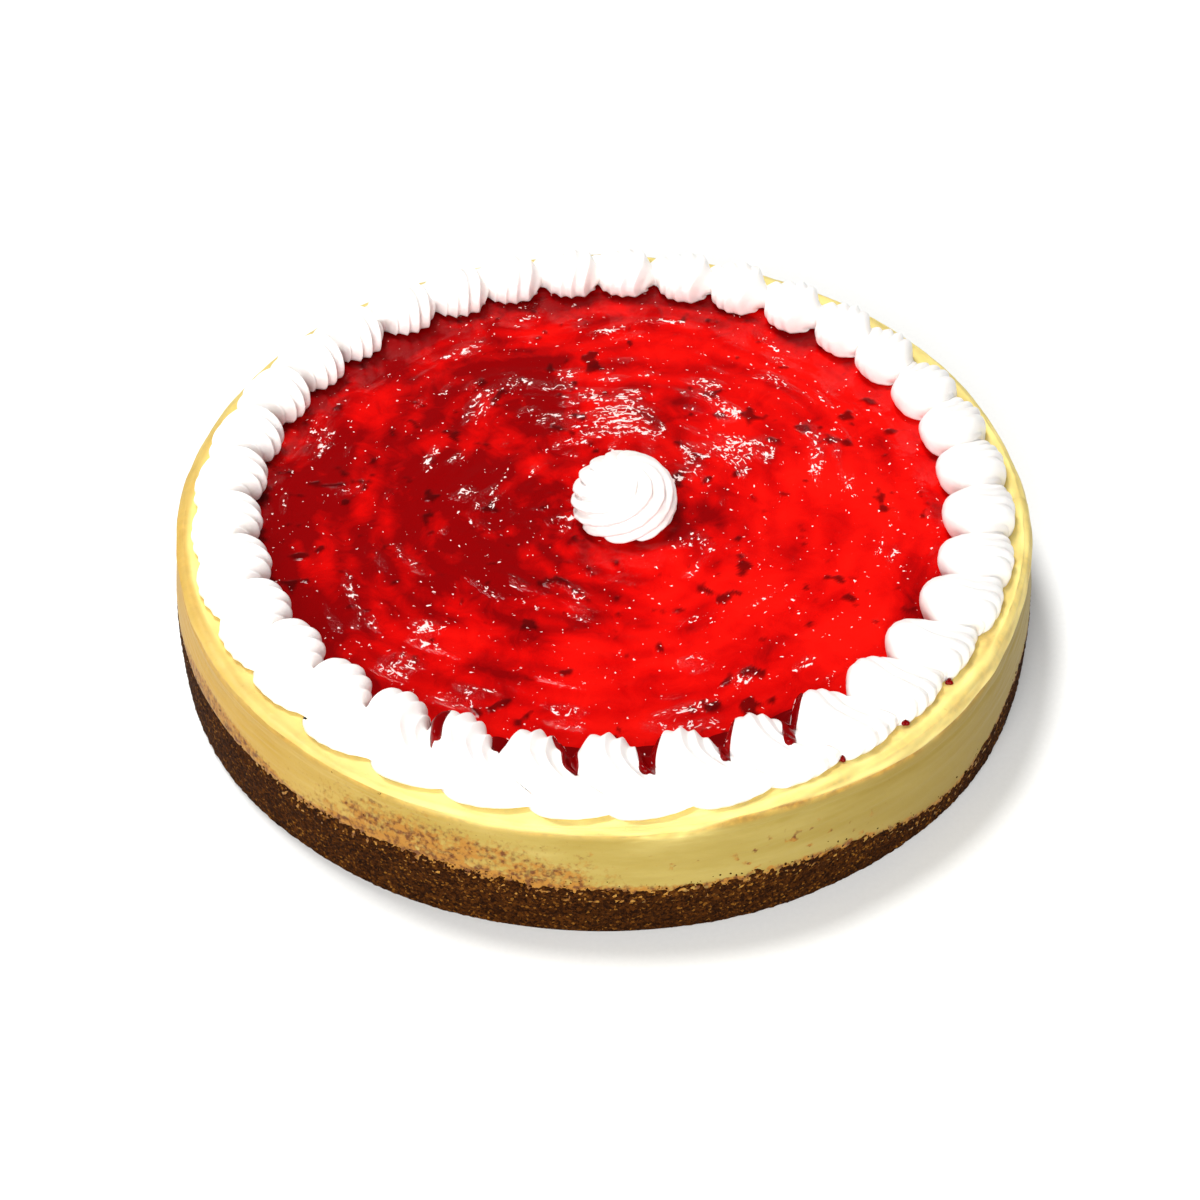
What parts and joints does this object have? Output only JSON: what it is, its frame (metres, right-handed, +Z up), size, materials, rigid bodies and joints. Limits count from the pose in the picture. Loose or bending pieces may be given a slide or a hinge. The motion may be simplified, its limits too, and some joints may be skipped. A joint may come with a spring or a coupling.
{
  "type": "baked cheesecake",
  "caption": "Round baked cheesecake with a crumb base and a browned filling, topped with glossy strawberry glaze, a piped border of whipped cream shells and a cream rosette.",
  "frame": {"origin": "middle of the cake's underside", "axes": "+Z up, -Y the front of the cake, +X its right"},
  "size_m": [0.2538, 0.253, 0.0561],
  "materials": {
    "crumb": "matte, rough pressed biscuit crumb",
    "filling": "satin, smooth baked custard",
    "glaze": "wet gloss, clear fruit jelly",
    "cream": "satin, smooth whipped cream"
  },
  "bodies": {
    "root": {"crumb_base": "crumb", "filling": "filling", "strawberry_glaze": "glaze", "cream_shell_01": "cream", "cream_shell_02": "cream", "cream_shell_03": "cream", "cream_shell_04": "cream", "cream_shell_05": "cream", "cream_shell_06": "cream", "cream_shell_07": "cream", "cream_shell_08": "cream", "cream_shell_09": "cream", "cream_shell_10": "cream", "cream_shell_11": "cream", "cream_shell_12": "cream", "cream_shell_13": "cream", "cream_shell_14": "cream", "cream_shell_15": "cream", "cream_shell_16": "cream", "cream_shell_17": "cream", "cream_shell_18": "cream", "cream_shell_19": "cream", "cream_shell_20": "cream", "cream_shell_21": "cream", "cream_shell_22": "cream", "cream_shell_23": "cream", "cream_shell_24": "cream", "cream_shell_25": "cream", "cream_shell_26": "cream", "cream_shell_27": "cream", "cream_shell_28": "cream", "cream_shell_29": "cream", "cream_shell_30": "cream", "cream_shell_31": "cream", "cream_shell_32": "cream", "cream_shell_33": "cream", "cream_shell_34": "cream", "cream_shell_35": "cream", "cream_rosette": "cream"}
  },
  "joints": []
}
